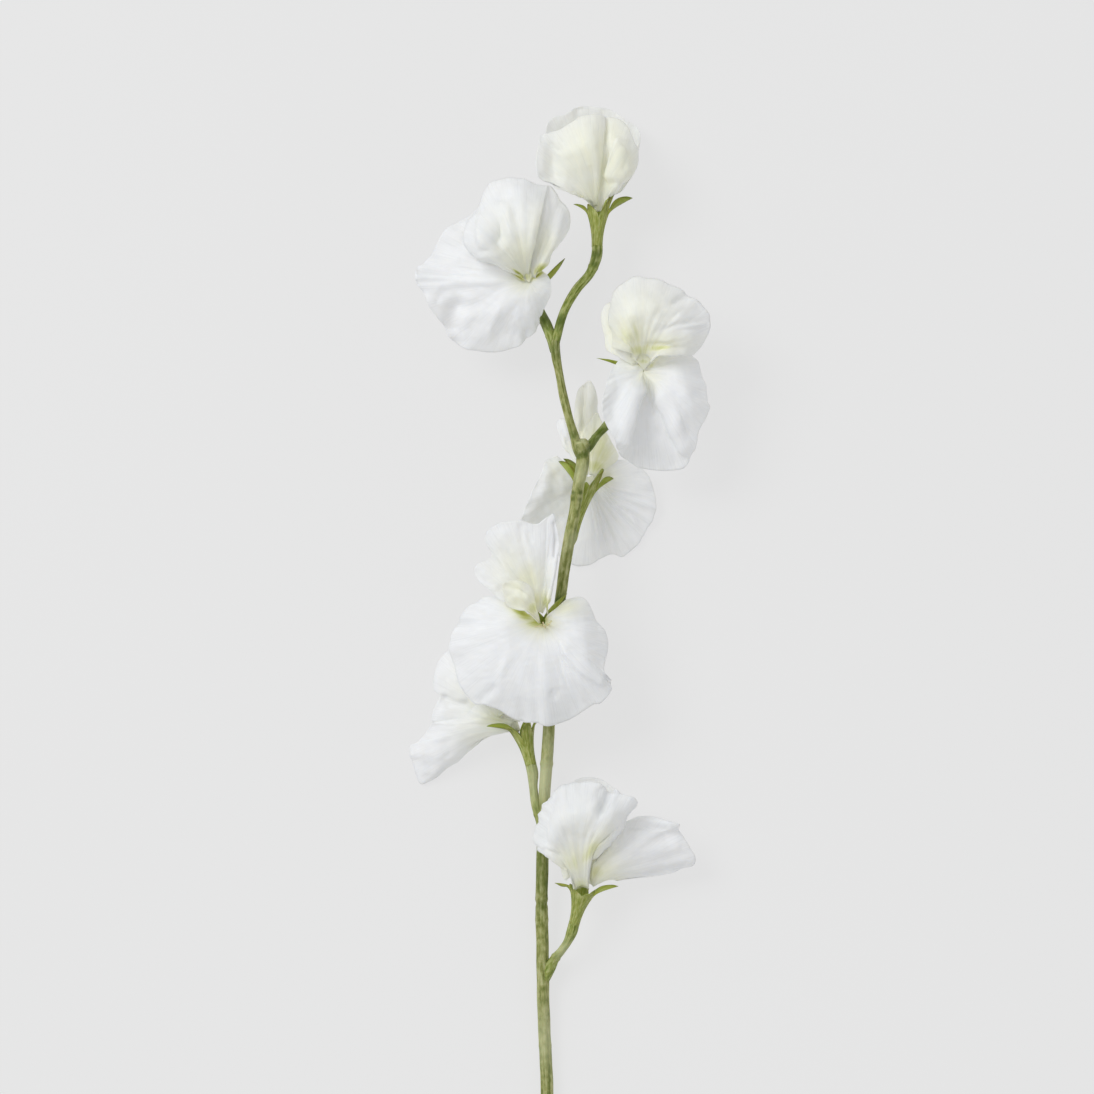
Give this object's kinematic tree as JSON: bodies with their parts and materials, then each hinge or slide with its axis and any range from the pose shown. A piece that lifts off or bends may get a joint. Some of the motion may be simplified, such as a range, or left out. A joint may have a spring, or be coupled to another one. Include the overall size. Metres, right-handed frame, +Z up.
{
  "type": "sweet pea flower",
  "caption": "Cut sweet pea spray with white hooded blossoms in green calyces along one bent stem, lying on a flat surface as a cut flower for decoration.",
  "frame": {"origin": "on the surface that the spray lies on, below the middle of its bounding box", "axes": "+Y along the stem from its cut end to the top blossom, +Z up from the surface, +X to the right when seen from above with the top blossom away from the viewer"},
  "size_m": [0.0907, 0.3424, 0.0412],
  "materials": {
    "stem": "satin",
    "calyx": "satin",
    "petal": "matte",
    "petal_base": "matte",
    "stamen": "matte"
  },
  "bodies": {
    "root": {"main_stem": "stem", "flower_1_pedicel": "stem", "flower_1_calyx": "calyx", "flower_1_standard": "petal", "flower_1_wing_left": "petal", "flower_1_wing_right": "petal", "flower_1_keel": "petal_base", "flower_2_pedicel": "stem", "flower_2_calyx": "calyx", "flower_2_standard": "petal", "flower_2_wing_left": "petal", "flower_2_wing_right": "petal", "flower_2_keel": "petal_base", "flower_3_pedicel": "stem", "flower_3_calyx": "calyx", "flower_3_standard": "petal", "flower_3_wing_left": "petal", "flower_3_wing_right": "petal", "flower_3_keel": "petal_base", "flower_4_pedicel": "stem", "flower_4_calyx": "calyx", "flower_4_standard": "petal", "flower_4_wing_left": "petal", "flower_4_wing_right": "petal", "flower_4_keel": "petal_base", "flower_5_pedicel": "stem", "flower_5_calyx": "calyx", "flower_5_standard": "petal", "flower_5_wing_left": "petal", "flower_5_wing_right": "petal", "flower_5_keel": "petal_base", "flower_6_pedicel": "stem", "flower_6_calyx": "calyx", "flower_6_standard": "petal", "flower_6_wing_left": "petal", "flower_6_wing_right": "petal", "flower_6_keel": "petal_base", "flower_7_pedicel": "stem", "flower_7_calyx": "calyx", "flower_7_standard": "petal", "flower_7_wing_left": "petal", "flower_7_wing_right": "petal", "flower_7_keel": "petal_base", "flower_5_filament_1": "stamen", "flower_5_filament_2": "stamen", "flower_5_filament_3": "stamen"}
  },
  "joints": []
}
